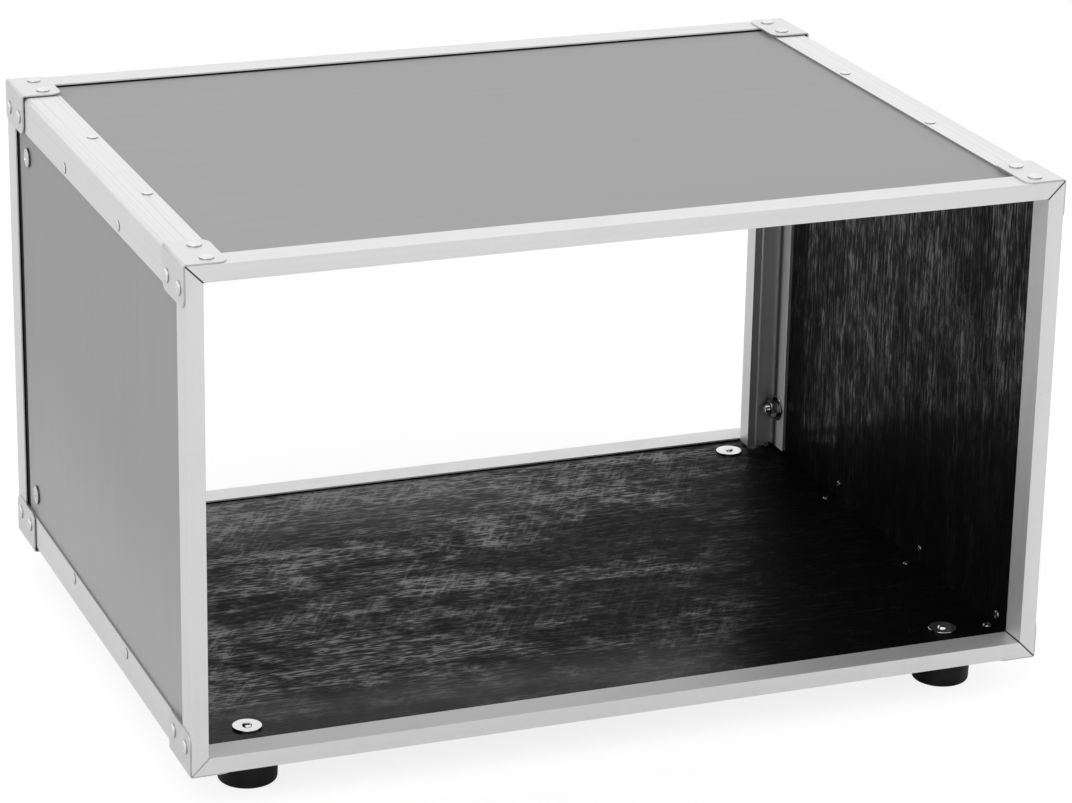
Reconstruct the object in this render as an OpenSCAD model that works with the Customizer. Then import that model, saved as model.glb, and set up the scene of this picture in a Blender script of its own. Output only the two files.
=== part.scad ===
// Effects rack case: an open plywood sleeve for 19-inch rack gear.
// Four thin panels sit loosely in two mitred frames of U-channel, one at each open end.
// Edge angles lie on the panels between the frames, and folded brackets are riveted over every corner.
// X is the width, +Y is the end with the rack rails, +Z is up, and the feet stand on Z = 0.

/* [Case] */
// Height that the case takes, in rack units
rack_units = 6; // [3:1:10]
// Room added to that height between the frame lips
opening_spare = 0.3; // [0.2:0.1:2]
// Clear width between the frame lips
opening_w = 486; // [484:1:494]
// Depth over both frames
case_d = 380; // [280:5:520]

/* [Panels and frames] */
// Plywood thickness
ply_t = 6; // [5:0.5:9]
// Slack between a panel and the channel's inner leg
ply_play = 0.5; // [0.2:0.1:2]
// Wall of the U-channel
channel_wall = 1; // [0.8:0.1:1.5]
// Depth of the channel legs, web included
channel_leg = 17.5; // [14:0.5:21]

/* [Edge angles] */
// Outer width of an angle's leg
angle_leg = 21.5; // [20:0.5:26]
// Wall of the angle
angle_t = 1.5; // [1.2:0.1:2]
// Outer corner radius of the angle
angle_r = 2.4; // [1.4:0.2:3]
// Distance of the angle's outer face below the channel's outer face
angle_sink = 0.5; // [0.3:0.1:0.9]
// Space between an angle's end and the channel's leg
angle_gap = 0.3; // [0.1:0.1:2]

/* [Corner brackets] */
// Length of a bracket along the case's depth
bracket_len = 40; // [37:1:48]
// Sheet thickness
bracket_t = 1; // [0.8:0.1:1.6]
// Outer radius of the fold
bracket_fold_r = 1.6; // [1:0.2:2.4]
// Radius of a wing's free corners
bracket_corner_r = 6; // [3:0.5:9]
// Reach of a wing past the angle's edge
bracket_over = 1.4; // [0.4:0.2:3]
// Distance of a bracket's end from the frame's face
bracket_setback = 0.6; // [0.2:0.2:2]

/* [Rivets] */
// Shank of the corner rivets
corner_rivet_d = 4.8; // [4:0.2:5]
// Head of the corner rivets
corner_head_d = 8.2; // [7:0.2:9.6]
// Height of a corner rivet's head
corner_head_h = 1.7; // [1.2:0.1:2.2]
// Distance of a corner rivet from the channel's inner lip
corner_rivet_gap = 4.5; // [4.4:0.1:5.4]
// Distance of a corner rivet from the bracket's end
corner_rivet_edge = 8.8; // [7.5:0.1:9.5]
// Depth that the short corner rivets reach into the plywood
short_bite = 4; // [2.5:0.5:4.5]
// Shank of the edge rivets
edge_rivet_d = 3.2; // [2.4:0.2:4]
// Head of the edge rivets
edge_head_d = 6.4; // [5.6:0.2:7.2]
// Height of an edge rivet's head
edge_head_h = 1.1; // [0.8:0.1:1.5]
// Distance of an edge rivet from the angle's free edge
edge_rivet_edge = 4.8; // [4:0.2:5.6]
// Distance between the two edge rivets on a leg
edge_rivet_pitch = 115; // [70:5:150]
// Length of a set rivet's tail
tail_len = 1.4; // [1:0.1:2.6]
// Room round each rivet and bolt in its hole
hole_room = 0.2; // [0.1:0.1:0.4]

/* [Rack rails] */
// Distance that a rail reaches in past the frame's lip
rail_reach = 18; // [17:0.25:20]
// Distance of the rack screws' line from the frame's lip
screw_in = 10.45; // [10:0.05:11.2]
// Space between the frame's leg and the rail's face
rail_gap = 4.5; // [2:0.5:10]
// Space between a rail's end and the rivet tails on the floor and the ceiling
rail_end_gap = 0.2; // [0.1:0.1:4]
// Thickness of the wall flange
rail_flange_t = 2; // [1.6:0.1:2.6]
// Width of the mouth for the screws
slot_mouth = 6.6; // [6.2:0.1:7.4]
// Thickness of the lips beside the mouth
slot_lip = 2; // [1.6:0.1:2.4]
// Width of the slot for the sliding nuts
slot_w = 10.4; // [10.2:0.1:11]
// Depth of the slot for the sliding nuts
slot_d = 5.4; // [5:0.1:6]
// Wall behind the slot for the sliding nuts
slot_wall = 1.6; // [1.2:0.1:2.4]
// Depth of the relief for the screw tips
relief_d = 2.8; // [1.8:0.1:4]
// Wall behind the relief
relief_back = 1.8; // [1.4:0.1:2.6]
// Wall beside the relief
relief_wall = 1; // [0.8:0.1:1.6]
// Width of the marking groove on the rail's back
groove_w = 1.4; // [0.8:0.2:2]
// Distance of the groove from the screw line
groove_off = 2; // [0:0.5:4]

/* [Rail bolts] */
// Thread diameter
bolt_d = 6; // [5:0.5:6.5]
// Head diameter
bolt_head_d = 11.5; // [10.5:0.5:13]
// Head height
bolt_head_h = 2; // [1.6:0.2:3.8]
// Distance of a bolt from the edge of the corner bracket's wing
bolt_off = 13.2; // [8:0.1:20]
// Distance of a bolt from the rail's nut-slot block
bolt_gap = 7; // [6.5:0.5:10]
// Distance of a bolt from the flange's free edge
bolt_edge = 9; // [8.5:0.5:12]
// Thread that shows past the nut
bolt_end = 3.5; // [0.5:0.5:5]
// Nut width across flats
nut_af = 10; // [9:0.5:10.5]
// Nut height
nut_h = 5; // [4:0.5:6]
// Washer diameter
washer_d = 16; // [13:0.5:16.5]
// Washer thickness
washer_t = 1.4; // [1:0.2:1.8]

/* [Feet] */
// Diameter of a foot where it meets the case
foot_d = 35; // [28:1:40]
// Diameter of a foot at the ground
foot_tread_d = 33; // [26:1:40]
// Height of a foot
foot_h = 24; // [14:1:32]
// Edge radius at the ground
foot_edge_r = 2; // [1:0.5:3]
// Space between a foot and the metal beside it
foot_gap = 0.6; // [0.3:0.1:2]
// Rubber left under the fixing rivet's head
foot_web = 8; // [5:0.5:10]
// Bore for the fixing rivet's head
foot_bore_d = 13; // [11:0.5:15]
// Diameter of the washer on the floor
foot_washer_d = 16.4; // [14:0.2:20]
// Thickness of the washer on the floor
foot_washer_t = 1.2; // [0.8:0.1:1.6]
// Length of a foot rivet's tail
foot_tail_len = 1.4; // [1:0.1:5]

/* [Hidden] */
$fn = 48;
// One rack unit
unit_h = 44.45;
// Smallest cut past a face
eps = 0.5;

// Outer and inner face of each panel, below the outer face of the channel
seat = angle_sink + angle_t;
wall_in = seat + ply_t;

// Width of the channel's web, and the body over the channels
web = wall_in + ply_play + channel_wall;
body_w = opening_w + 2 * web;
body_h = rack_units * unit_h + opening_spare + 2 * web;
half_w = body_w / 2;
half_h = body_h / 2;
half_d = case_d / 2;

// The feet lift the body off the ground
lift = foot_h - seat;

// Rivet rows, from the outer faces
angle_reach = angle_sink + angle_leg;
wing_reach = angle_reach + bracket_over;
corner_in = web + corner_rivet_gap;
edge_in = angle_reach - edge_rivet_edge;
row_short = bracket_setback + corner_rivet_edge;
row_long = bracket_setback + bracket_len - corner_rivet_edge;

// Rails
lip_in = web - wall_in;
rail_w = lip_in + rail_reach;
screw_u = lip_in + screw_in;
rail_face = half_d - channel_leg - rail_gap;
rail_low = -half_h + wall_in + tail_len + rail_end_gap;
rail_top = half_h - wall_in - tail_len - rail_end_gap;
slot_end = slot_lip + slot_d;
rail_step_d = slot_end + slot_wall;
rail_block_d = slot_end + relief_d + relief_back;
rail_flange_d = rail_block_d + bolt_gap + bolt_edge;
bolt_y = rail_face - rail_block_d - bolt_gap;
bolt_z = half_h - wing_reach - bolt_off;

// Feet
foot_x = half_w - wing_reach - foot_gap - foot_d / 2;
foot_y = half_d - channel_leg - foot_gap - foot_d / 2;
foot_top = -half_h + seat;

// The four sides: turn about Y, half length of the side, distance of its outer face,
// and whether a rail lies behind its front corner rivets
SIDES = [
    [0, half_w, half_h, false],
    [90, half_h, half_w, true],
    [180, half_w, half_h, false],
    [-90, half_h, half_w, true]
];

// The inner rivet of a wing goes right through, but not where a rail covers the panel.
function goes_through(side, end) = end < 0 || !side[3];

// The body is drawn about its own centre and then lifted onto its feet.
module placed() {
    translate([0, 0, lift + half_h]) children();
}

// Turns a piece drawn for the top left corner at the rear to another corner.
module to_corner(right, low, front) {
    mirror([right ? 1 : 0, 0, 0])
        mirror([0, 0, low ? 1 : 0])
            mirror([0, front ? 1 : 0, 0])
                children();
}

module block(x0, x1, y0, y1, z0, z1) {
    translate([x0, y0, z0]) cube([x1 - x0, y1 - y0, z1 - z0]);
}

// Holes along a row of two at each end of a side, drilled from its outer face.
module side_row(side, ends, row, from, depth) {
    rotate([0, side[0], 0])
        for (sx = [-1, 1], sy = ends)
            translate([sx * (side[1] - corner_in), sy * (half_d - row), side[2] + from - depth])
                cylinder(d = corner_rivet_d + hole_room, h = depth);
}

// Holes for the two edge rivets on each leg that meets a side.
module edge_row(side, from, depth) {
    rotate([0, side[0], 0])
        for (sx = [-1, 1], sy = [-1, 1])
            translate([sx * (side[1] - edge_in), sy * edge_rivet_pitch / 2, side[2] + from - depth])
                cylinder(d = edge_rivet_d + hole_room, h = depth);
}

// All rivet holes in one panel.
module panel_holes(side) {
    through = wall_in + 2 * eps;
    blind = seat + short_bite + 2 * eps;
    for (end = [-1, 1])
        side_row(side, [end], row_long, eps, goes_through(side, end) ? through : blind);
    side_row(side, [-1, 1], row_short, eps, blind);
    edge_row(side, eps, through);
}

module top_panel() {
    color("#8f9295") placed() difference() {
        block(-half_w + seat, half_w - seat, -half_d + channel_wall, half_d - channel_wall,
            half_h - wall_in, half_h - seat);
        panel_holes(SIDES[0]);
    }
}

module bottom_panel() {
    color("#3a3a3c") placed() difference() {
        block(-half_w + seat, half_w - seat, -half_d + channel_wall, half_d - channel_wall,
            -half_h + seat, -half_h + wall_in);
        panel_holes(SIDES[2]);
        at_feet() translate([0, 0, -eps])
            cylinder(d = corner_rivet_d + hole_room, h = ply_t + 2 * eps);
    }
}

// A side panel stands on the floor panel and carries the top panel.
module side_panel(side, s) {
    x_out = half_w - seat;
    difference() {
        block(min(s * x_out, s * (x_out - ply_t)), max(s * x_out, s * (x_out - ply_t)),
            -half_d + channel_wall, half_d - channel_wall,
            -half_h + wall_in, half_h - wall_in);
        panel_holes(side);
        at_rail_bolts(s) translate([0, 0, -ply_t - eps])
            cylinder(d = bolt_d + hole_room, h = ply_t + 2 * eps);
    }
}

module left_panel() {
    color("#8f9295") placed() side_panel(SIDES[3], -1);
}

module right_panel() {
    color("#8f9295") placed() side_panel(SIDES[1], 1);
}

// One wall of a mitred channel: a strip between two depths, cut at 45 degrees at both ends.
module mitred_strip(span, rise, z_out, z_in, y_len) {
    translate([0, 0, rise]) rotate([90, 0, 0]) translate([0, 0, -y_len])
        linear_extrude(y_len)
            polygon([
                [-span / 2 + z_out, -z_out], [span / 2 - z_out, -z_out],
                [span / 2 - z_in, -z_in], [-span / 2 + z_in, -z_in]
            ]);
}

// U-channel of the rear frame, drawn as the top bar.
module channel_bar(span, rise) {
    difference() {
        translate([0, -half_d, 0]) {
            mitred_strip(span, rise, 0, web, channel_wall);
            mitred_strip(span, rise, 0, channel_wall, channel_leg);
            mitred_strip(span, rise, web - channel_wall, web, channel_leg);
        }
        for (sx = [-1, 1])
            translate([sx * (span / 2 - corner_in), -half_d + row_short, rise - channel_wall - eps])
                cylinder(d = corner_rivet_d + hole_room, h = channel_wall + 2 * eps);
    }
}

module frame_channel(side, front) {
    color("#c9ccce") placed()
        mirror([0, front ? 1 : 0, 0])
            rotate([0, side[0], 0]) channel_bar(2 * side[1], side[2]);
}

module rear_top_channel() { frame_channel(SIDES[0], false); }
module rear_right_channel() { frame_channel(SIDES[1], false); }
module rear_bottom_channel() { frame_channel(SIDES[2], false); }
module rear_left_channel() { frame_channel(SIDES[3], false); }
module front_top_channel() { frame_channel(SIDES[0], true); }
module front_right_channel() { frame_channel(SIDES[1], true); }
module front_bottom_channel() { frame_channel(SIDES[2], true); }
module front_left_channel() { frame_channel(SIDES[3], true); }

// Section of an L with a round outer corner and a sharp inner one.
// The outer corner is at the origin, and the legs run along +X and -Y.
module l_section(leg, t, r) {
    difference() {
        union() {
            translate([r, -leg]) square([leg - r, leg]);
            translate([0, -leg]) square([leg, leg - r]);
            translate([r, -r]) circle(r);
        }
        translate([t, -leg - eps]) square([leg, leg - t + eps]);
    }
}

// Edge angle at the top left, laid on two panels between the legs of the two frames.
module edge_angle() {
    len = case_d - 2 * (channel_leg + angle_gap);
    difference() {
        translate([-half_w + angle_sink, len / 2, half_h - angle_sink]) rotate([90, 0, 0])
            linear_extrude(len) l_section(angle_leg, angle_t, angle_r);
        for (side = [SIDES[0], SIDES[3]]) {
            side_row(side, [-1, 1], row_long, eps - angle_sink, angle_t + 2 * eps);
            edge_row(side, eps - angle_sink, angle_t + 2 * eps);
        }
    }
}

module top_left_angle() { color("#e2e4e5") placed() edge_angle(); }
module top_right_angle() { color("#e2e4e5") placed() to_corner(true, false, false) edge_angle(); }
module bottom_left_angle() { color("#d2d4d6") placed() to_corner(false, true, false) edge_angle(); }
module bottom_right_angle() { color("#d2d4d6") placed() to_corner(true, true, false) edge_angle(); }

// Outline of a bracket's wing: straight at the fold, with two round free corners.
module wing_outline(reach, len, r) {
    square([reach - r, len]);
    translate([0, r]) square([reach, len - 2 * r]);
    for (y = [r, len - r]) translate([reach - r, y]) circle(r);
}

// Folded corner bracket at the top left of the rear, lying on the channels and over the angle.
module corner_bracket() {
    reach = wing_reach + bracket_t;
    difference() {
        translate([-half_w - bracket_t, -half_d + bracket_setback, half_h + bracket_t]) intersection() {
            translate([0, bracket_len, 0]) rotate([90, 0, 0])
                linear_extrude(bracket_len) l_section(reach, bracket_t, bracket_fold_r);
            union() {
                translate([0, 0, -bracket_t])
                    linear_extrude(bracket_t) wing_outline(reach, bracket_len, bracket_corner_r);
                rotate([0, 90, 0])
                    linear_extrude(bracket_t) wing_outline(reach, bracket_len, bracket_corner_r);
            }
        }
        for (side = [SIDES[0], SIDES[3]], row = [row_long, row_short])
            side_row(side, [-1], row, bracket_t + eps, bracket_t + 2 * eps);
    }
}

module bracket_at(right, low, front) {
    color("#dcdee0") placed() to_corner(right, low, front) corner_bracket();
}

module rear_top_left_bracket() { bracket_at(false, false, false); }
module rear_top_right_bracket() { bracket_at(true, false, false); }
module rear_bottom_left_bracket() { bracket_at(false, true, false); }
module rear_bottom_right_bracket() { bracket_at(true, true, false); }
module front_top_left_bracket() { bracket_at(false, false, true); }
module front_top_right_bracket() { bracket_at(true, false, true); }
module front_bottom_left_bracket() { bracket_at(false, true, true); }
module front_bottom_right_bracket() { bracket_at(true, true, true); }

// Section of a rail. U runs from the side panel inward, V from the rail's face to the rear.
module rail_section() {
    mouth = slot_mouth / 2;
    half_slot = slot_w / 2;
    step_u = screw_u - mouth - relief_wall;
    groove_u = screw_u + groove_off;
    difference() {
        union() {
            square([rail_w, rail_step_d]);
            translate([step_u, 0]) square([rail_w - step_u, rail_block_d]);
            square([rail_flange_t, rail_flange_d]);
        }
        translate([screw_u - mouth, -eps]) square([slot_mouth, slot_lip + 2 * eps]);
        translate([screw_u - half_slot, slot_lip]) square([slot_w, slot_d]);
        translate([screw_u - mouth, slot_end - eps]) square([slot_mouth, relief_d + eps]);
        polygon([
            [groove_u - groove_w / 2, rail_block_d + eps / 10],
            [groove_u + groove_w / 2, rail_block_d + eps / 10],
            [groove_u, rail_block_d - groove_w / 2]
        ]);
    }
}

// Left rail, bolted to the side panel behind the front frame.
module rack_rail() {
    difference() {
        translate([-half_w + wall_in, rail_face, rail_low])
            linear_extrude(rail_top - rail_low)
                mirror([0, 1]) rail_section();
        at_rail_bolts(-1) translate([0, 0, -ply_t - rail_flange_t - eps])
            cylinder(d = bolt_d + hole_room, h = rail_flange_t + 2 * eps);
    }
}

module left_rack_rail() { color("#85888b") placed() rack_rail(); }
module right_rack_rail() { color("#85888b") placed() mirror([1, 0, 0]) rack_rail(); }

// Places a piece at each rail bolt of one side, with +Z out of the case from the panel's outer face.
module at_rail_bolts(s) {
    for (sz = [-1, 1])
        translate([s * (half_w - seat), bolt_y, sz * bolt_z]) rotate([0, s * 90, 0]) children();
}

// Domed rivet: the head rests on Z = 0, and the tail is set against the far face at -grip.
module through_rivet(d, head_d, head_h, grip, tail) {
    tail_r = d * 0.58;
    rotate_extrude() polygon([
        [0, -grip - tail],
        [tail_r * 0.6, -grip - tail],
        [tail_r, -grip - tail * 0.7],
        [tail_r, -grip],
        [d / 2, -grip],
        [d / 2, 0],
        [head_d / 2, 0],
        [head_d * 0.46, head_h * 0.42],
        [head_d * 0.34, head_h * 0.78],
        [head_d * 0.18, head_h * 0.96],
        [0, head_h]
    ]);
}

// The short rivets end in the plywood.
module short_rivet(d, head_d, head_h, depth) {
    rotate_extrude() polygon([
        [0, -depth],
        [d * 0.4, -depth],
        [d / 2, -depth + d * 0.1],
        [d / 2, 0],
        [head_d / 2, 0],
        [head_d * 0.46, head_h * 0.42],
        [head_d * 0.34, head_h * 0.78],
        [head_d * 0.18, head_h * 0.96],
        [0, head_h]
    ]);
}

module long_corner_rivets() {
    color("#eceeef") placed()
        for (side = SIDES) rotate([0, side[0], 0])
            for (sx = [-1, 1], sy = [-1, 1]) if (goes_through(side, sy))
                translate([sx * (side[1] - corner_in), sy * (half_d - row_long), side[2] + bracket_t])
                    through_rivet(corner_rivet_d, corner_head_d, corner_head_h,
                        bracket_t + wall_in, tail_len);
}

module short_corner_rivets() {
    color("#eceeef") placed()
        for (side = SIDES) rotate([0, side[0], 0])
            for (sx = [-1, 1], sy = [-1, 1])
                for (row = goes_through(side, sy) ? [row_short] : [row_short, row_long])
                    translate([sx * (side[1] - corner_in), sy * (half_d - row), side[2] + bracket_t])
                        short_rivet(corner_rivet_d, corner_head_d, corner_head_h,
                            bracket_t + seat + short_bite);
}

module edge_rivets() {
    color("#eceeef") placed()
        for (side = SIDES) rotate([0, side[0], 0])
            for (sx = [-1, 1], sy = [-1, 1])
                translate([sx * (side[1] - edge_in), sy * edge_rivet_pitch / 2, side[2] - angle_sink])
                    through_rivet(edge_rivet_d, edge_head_d, edge_head_h,
                        angle_t + ply_t, tail_len);
}

// Pan-head bolt with a cross recess.
module rail_bolt() {
    grip = ply_t + rail_flange_t + washer_t + nut_h + bolt_end;
    difference() {
        rotate_extrude() polygon([
            [0, -grip],
            [bolt_d * 0.42, -grip],
            [bolt_d / 2, -grip + bolt_d * 0.08],
            [bolt_d / 2, 0],
            [bolt_head_d / 2, 0],
            [bolt_head_d / 2, bolt_head_h * 0.45],
            [bolt_head_d * 0.44, bolt_head_h * 0.75],
            [bolt_head_d * 0.3, bolt_head_h * 0.95],
            [0, bolt_head_h]
        ]);
        for (turn = [0, 90]) rotate(turn)
            translate([-bolt_head_d * 0.26, -bolt_head_d * 0.05, bolt_head_h * 0.4])
                cube([bolt_head_d * 0.52, bolt_head_d * 0.1, bolt_head_h]);
    }
}

module rail_bolts() {
    color("#b9bcbe") placed() for (s = [-1, 1]) at_rail_bolts(s) rail_bolt();
}

module rail_washers() {
    color("#9c9fa1") placed() for (s = [-1, 1]) at_rail_bolts(s)
        translate([0, 0, -ply_t - rail_flange_t - washer_t]) difference() {
            cylinder(d = washer_d, h = washer_t);
            translate([0, 0, -eps]) cylinder(d = bolt_d + hole_room, h = washer_t + 2 * eps);
        }
}

module rail_nuts() {
    color("#9c9fa1") placed() for (s = [-1, 1]) at_rail_bolts(s)
        translate([0, 0, -ply_t - rail_flange_t - washer_t - nut_h]) difference() {
            rotate(30) cylinder(d = nut_af / cos(30), h = nut_h, $fn = 6);
            translate([0, 0, -eps]) cylinder(d = bolt_d + hole_room, h = nut_h + 2 * eps);
        }
}

// Places a piece at each foot, on the underside of the floor panel.
module at_feet() {
    for (sx = [-1, 1], sy = [-1, 1])
        translate([sx * foot_x, sy * foot_y, foot_top]) children();
}

// Rubber foot: a slightly tapered disc, bored from below for its rivet.
module rubber_foot(sx, sy) {
    color("#1b1b1c") placed() translate([sx * foot_x, sy * foot_y, foot_top])
        rotate_extrude() polygon([
            [(corner_rivet_d + hole_room) / 2, 0],
            [foot_d / 2, 0],
            [foot_tread_d / 2, -foot_h + foot_edge_r],
            [foot_tread_d / 2 - foot_edge_r * 0.3, -foot_h + foot_edge_r * 0.3],
            [foot_tread_d / 2 - foot_edge_r, -foot_h],
            [foot_bore_d / 2, -foot_h],
            [foot_bore_d / 2, -foot_web],
            [(corner_rivet_d + hole_room) / 2, -foot_web]
        ]);
}

module rear_left_foot() { rubber_foot(-1, -1); }
module rear_right_foot() { rubber_foot(1, -1); }
module front_left_foot() { rubber_foot(-1, 1); }
module front_right_foot() { rubber_foot(1, 1); }

module foot_washers() {
    color("#d8dadb") placed() at_feet() translate([0, 0, ply_t]) difference() {
        cylinder(d = foot_washer_d, h = foot_washer_t);
        translate([0, 0, -eps])
            cylinder(d = corner_rivet_d + hole_room, h = foot_washer_t + 2 * eps);
    }
}

// Rivet that holds a foot: head in the foot's bore, hollow tail set on the floor washer.
module foot_rivets() {
    grip = foot_web + ply_t + foot_washer_t;
    color("#d0d2d4") placed() at_feet() translate([0, 0, -foot_web]) difference() {
        rotate([180, 0, 0])
            through_rivet(corner_rivet_d, corner_head_d, corner_head_h, grip, foot_tail_len);
        translate([0, 0, grip + foot_tail_len * 0.3])
            cylinder(d = corner_rivet_d * 0.5, h = foot_tail_len);
    }
}

top_panel();
bottom_panel();
left_panel();
right_panel();
rear_top_channel();
rear_bottom_channel();
rear_left_channel();
rear_right_channel();
front_top_channel();
front_bottom_channel();
front_left_channel();
front_right_channel();
top_left_angle();
top_right_angle();
bottom_left_angle();
bottom_right_angle();
rear_top_left_bracket();
rear_top_right_bracket();
rear_bottom_left_bracket();
rear_bottom_right_bracket();
front_top_left_bracket();
front_top_right_bracket();
front_bottom_left_bracket();
front_bottom_right_bracket();
left_rack_rail();
right_rack_rail();
long_corner_rivets();
short_corner_rivets();
edge_rivets();
rail_bolts();
rail_washers();
rail_nuts();
rear_left_foot();
rear_right_foot();
front_left_foot();
front_right_foot();
foot_washers();
foot_rivets();
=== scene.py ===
"""Effects rack case: finishes, fastenings, feet and stage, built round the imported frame."""

import math

import bmesh
import bpy
from mathutils import Matrix, Vector


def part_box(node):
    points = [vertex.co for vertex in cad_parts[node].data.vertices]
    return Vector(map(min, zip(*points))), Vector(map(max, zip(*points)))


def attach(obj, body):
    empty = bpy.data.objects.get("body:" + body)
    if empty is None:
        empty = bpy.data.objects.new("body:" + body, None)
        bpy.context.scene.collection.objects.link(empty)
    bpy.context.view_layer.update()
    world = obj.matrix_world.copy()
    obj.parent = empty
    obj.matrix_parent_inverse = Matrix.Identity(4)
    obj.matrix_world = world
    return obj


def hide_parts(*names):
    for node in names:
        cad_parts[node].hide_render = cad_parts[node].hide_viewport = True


bl_info = {
    "name": "Effects Rack Case",
    "version": (1, 0, 0),
    "blender": (4, 5, 0),
    "location": "View3D > Sidebar > Rack Case",
    "description": "Dresses the rack case with its finishes, rivets, bolts, feet and a white studio",
    "category": "Object",
}

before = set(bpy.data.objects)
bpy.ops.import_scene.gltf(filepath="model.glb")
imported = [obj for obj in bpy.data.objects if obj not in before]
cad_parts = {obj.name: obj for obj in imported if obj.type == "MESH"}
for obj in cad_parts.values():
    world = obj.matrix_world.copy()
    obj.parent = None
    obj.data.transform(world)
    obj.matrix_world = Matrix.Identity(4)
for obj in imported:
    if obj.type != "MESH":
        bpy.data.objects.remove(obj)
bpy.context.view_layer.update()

# Outer faces of the body without angles and brackets, read from the channel frames.
HALF_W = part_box("front_right_channel")[1].x
HALF_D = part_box("front_top_channel")[1].y
BODY_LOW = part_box("front_bottom_channel")[0].z
BODY_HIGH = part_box("front_top_channel")[1].z
HALF_H = (BODY_HIGH - BODY_LOW) / 2
MID_Z = (BODY_HIGH + BODY_LOW) / 2

# Where the channel legs end on the panels, and where the corner brackets end on the angles.
LEG_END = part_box("front_left_channel")[0].y
BRACKET_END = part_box("front_top_left_bracket")[0].y

# Names of the feet and angles, and the signs of a side's four corners.
FEET = [end + side + "_foot" for end in ("rear_", "front_") for side in ("left", "right")]
ANGLES = [row + side + "_angle" for row in ("top_", "bottom_") for side in ("left", "right")]
CORNERS = ((-1, -1), (-1, 1), (1, -1), (1, 1))

# Turns of the four rail bolts in degrees, so that their recesses don't line up.
BOLT_SPINS = (12.0, 57.0, 81.0, 34.0)

# Radius of a rivet's upset tail, as a share of its shank's diameter.
TAIL_RADIUS = 0.58

# The camera of the photo: lens and sensor in millimetres, angles in degrees, place in metres.
CAMERA_LENS = 129.7737
CAMERA_SENSOR = 36.0
CAMERA_CLIP = (0.05, 60.0)
CAMERA_AZIMUTH = -21.39857
CAMERA_ELEVATION = 19.84968
CAMERA_ROLL = 1.09437
CAMERA_SPOT = (-0.767696, -1.997009, 0.914270)

# Places and widths of the two soft lamps, and the floor's half width and depth under the feet.
KEY_SPOT = (-1.5, -1.5, 2.5)
KEY_WIDTH = 2.4
FILL_SPOT = (2.4, -0.9, 1.5)
FILL_WIDTH = 1.6
FLOOR_REACH = 6.0
FLOOR_DROP = 0.0002


# Settings


def length(name, description, default):
    """A length in metres that a user may change by three tenths either way."""
    return bpy.props.FloatProperty(name=name, description=description, default=default, min=default * 0.7,
                                   max=default * 1.3, precision=5, unit="LENGTH")


def tone(name, description, default):
    """A colour in linear values that a user may change; one number alone is a neutral grey."""
    values = default if isinstance(default, tuple) else (default,) * 3
    return bpy.props.FloatVectorProperty(name=name, description=description, default=values, min=0.0, max=1.0,
                                         size=3, subtype="COLOR")


def level(name, description, default):
    """A share from nought to one that a user may change."""
    return bpy.props.FloatProperty(name=name, description=description, default=default, min=0.0, max=1.0,
                                   subtype="FACTOR")


def power(name, description, default):
    """A lamp's power in watts that a user may change."""
    return bpy.props.FloatProperty(name=name, description=description, default=default, min=0.0,
                                   max=default * 5, unit="POWER")


class RackCaseSizes(bpy.types.PropertyGroup):
    """Sizes of the fastenings, the feet and the softened edges."""

    edge_round: length("Edge rounding", "Width of the softened edges of cut metal", 0.00025)
    corner_head_d: length("Corner rivet head", "Diameter of a corner rivet's head", 0.0082)
    corner_head_h: length("Corner head height", "Height of a corner rivet's head", 0.0017)
    corner_shank_d: length("Corner rivet shank", "Diameter of a corner rivet's shank", 0.0048)
    edge_head_d: length("Edge rivet head", "Diameter of an edge rivet's head", 0.0064)
    edge_head_h: length("Edge head height", "Height of an edge rivet's head", 0.0011)
    edge_shank_d: length("Edge rivet shank", "Diameter of an edge rivet's shank", 0.0032)
    corner_in: length("Corner rivet inset", "Distance of the corner rivets from the body's edge", 0.014)
    row_short: length("First rivet row", "Distance of the first corner rivet from the case's end", 0.0094)
    row_long: length("Second rivet row", "Distance of the second corner rivet from the case's end", 0.0318)
    short_end: length("Short rivet", "Length under its head of a rivet that ends in the plywood", 0.007)
    edge_in: length("Edge rivet inset", "Distance of the edge rivets from the body's edge", 0.0172)
    edge_pitch: length("Edge rivet pitch", "Distance between the two edge rivets of a leg", 0.115)
    tail_len: length("Rivet tail", "Length of a rivet's upset tail inside the case", 0.0014)
    rail_block_d: length("Rail block", "Depth of a rail's nut-slot block behind its face", 0.012)
    bolt_d: length("Rail bolt", "Diameter of a rail bolt's thread", 0.006)
    bolt_head_d: length("Rail bolt head", "Diameter of a rail bolt's pan head", 0.0115)
    bolt_head_h: length("Rail bolt head height", "Height of a rail bolt's pan head", 0.002)
    nut_flats: length("Nut across flats", "Width of a rail nut across its flats", 0.01)
    thread_pitch: length("Thread pitch", "Pitch of the rail bolts' thread", 0.001)
    foot_bore_d: length("Foot bore", "Diameter of the bore under a foot", 0.013)
    foot_round: length("Foot rounding", "Radius of the moulded edge round a foot's tread", 0.002)


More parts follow.
